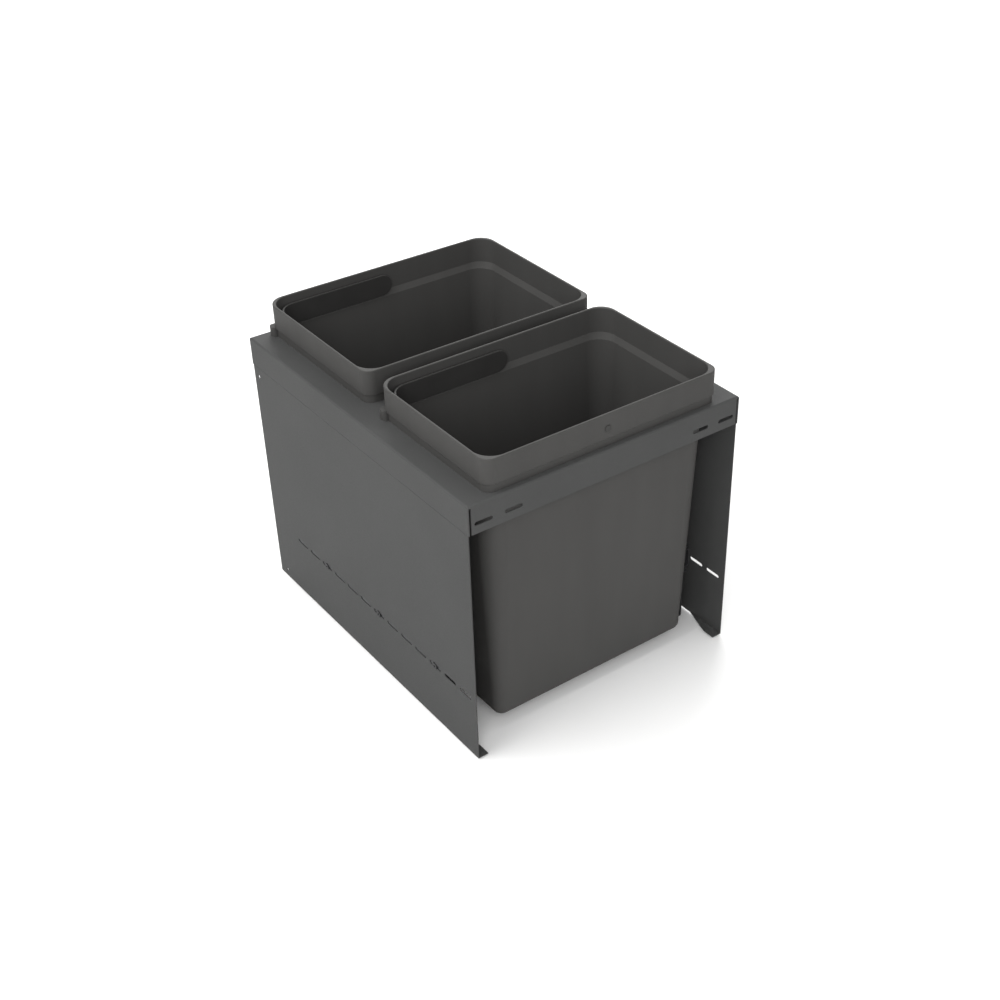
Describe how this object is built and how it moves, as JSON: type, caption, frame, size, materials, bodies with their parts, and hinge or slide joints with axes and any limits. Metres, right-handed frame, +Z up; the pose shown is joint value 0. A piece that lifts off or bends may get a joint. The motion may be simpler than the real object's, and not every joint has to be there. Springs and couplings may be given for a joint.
{
  "type": "pull out bin frame",
  "caption": "Folded steel cabinet frame on ball runners that pulls out with lift-out plastic bins, each with a fold-down carrying handle.",
  "frame": {"origin": "on the cabinet floor, under the middle of the frame's outer box", "axes": "+X to the right, the frame pulls out towards -Y, +Z up"},
  "size_m": [0.3946, 0.4882, 0.409],
  "materials": {
    "frame_paint": "fine-textured anthracite powder coat",
    "bin_plastic": "matt moulded dark grey",
    "handle_plastic": "matt near-black",
    "pin_plastic": "matt dark grey",
    "bracket_steel": "black-passivated zinc",
    "runner_steel": "black-passivated zinc, drawn along the length",
    "ball_steel": "polished",
    "black_screw": "black oxide",
    "bumper_rubber": "matt black"
  },
  "bodies": {
    "cabinet_side": {"left_floor_bracket": "bracket_steel", "left_cabinet_rail": "runner_steel", "left_bracket_rivets": "runner_steel", "left_stop_bumper": "bumper_rubber", "right_floor_bracket": "bracket_steel", "right_cabinet_rail": "runner_steel", "right_bracket_rivets": "runner_steel", "right_stop_bumper": "bumper_rubber"},
    "pull_out_frame": {"top_plate": "frame_paint", "left_side_panel": "frame_paint", "left_frame_rail": "runner_steel", "left_rail_screws": "black_screw", "right_side_panel": "frame_paint", "right_frame_rail": "runner_steel", "right_rail_screws": "black_screw"},
    "middle_rails": {"left_middle_rail": "runner_steel", "right_middle_rail": "runner_steel"},
    "outer_ball_cages": {"left_outer_ball_cage": "runner_steel", "left_outer_balls": "ball_steel", "right_outer_ball_cage": "runner_steel", "right_outer_balls": "ball_steel"},
    "inner_ball_cages": {"left_inner_ball_cage": "runner_steel", "left_inner_balls": "ball_steel", "right_inner_ball_cage": "runner_steel", "right_inner_balls": "ball_steel"},
    "front_lift_out_bin": {"front_bin": "bin_plastic", "front_handle_pins": "pin_plastic"},
    "front_carrying_handle": {"front_bin_handle": "handle_plastic"},
    "rear_lift_out_bin": {"rear_bin": "bin_plastic", "rear_handle_pins": "pin_plastic"},
    "rear_carrying_handle": {"rear_bin_handle": "handle_plastic"}
  },
  "joints": [
    {"name": "frame_slide", "type": "slide", "parent": "cabinet_side", "child": "pull_out_frame", "axis": [0, -1, 0], "range_m": [0, 0.38]},
    {"name": "middle_rail_slide", "type": "slide", "parent": "cabinet_side", "child": "middle_rails", "axis": [0, -1, 0], "range_m": [0, 0.19]},
    {"name": "outer_cage_slide", "type": "slide", "parent": "cabinet_side", "child": "outer_ball_cages", "axis": [0, -1, 0], "range_m": [0, 0.095]},
    {"name": "inner_cage_slide", "type": "slide", "parent": "cabinet_side", "child": "inner_ball_cages", "axis": [0, -1, 0], "range_m": [0, 0.285]},
    {"name": "front_bin_lift", "type": "slide", "parent": "pull_out_frame", "child": "front_lift_out_bin", "axis": [0, 0, 1], "range_m": [0, 0.365]},
    {"name": "front_handle_hinge", "type": "hinge", "parent": "front_lift_out_bin", "child": "front_carrying_handle", "pos_m": [0, -0.12874, 0.3895], "axis": [0, 1, 0], "range_deg": [0, 180]},
    {"name": "rear_bin_lift", "type": "slide", "parent": "pull_out_frame", "child": "rear_lift_out_bin", "axis": [0, 0, 1], "range_m": [0, 0.365]},
    {"name": "rear_handle_hinge", "type": "hinge", "parent": "rear_lift_out_bin", "child": "rear_carrying_handle", "pos_m": [0, 0.12376, 0.3895], "axis": [0, 1, 0], "range_deg": [0, 180]}
  ],
  "couplings": [
    {"joint": "middle_rail_slide", "follows": "frame_slide", "ratio": 0.5},
    {"joint": "outer_cage_slide", "follows": "frame_slide", "ratio": 0.25},
    {"joint": "inner_cage_slide", "follows": "frame_slide", "ratio": 0.75}
  ]
}
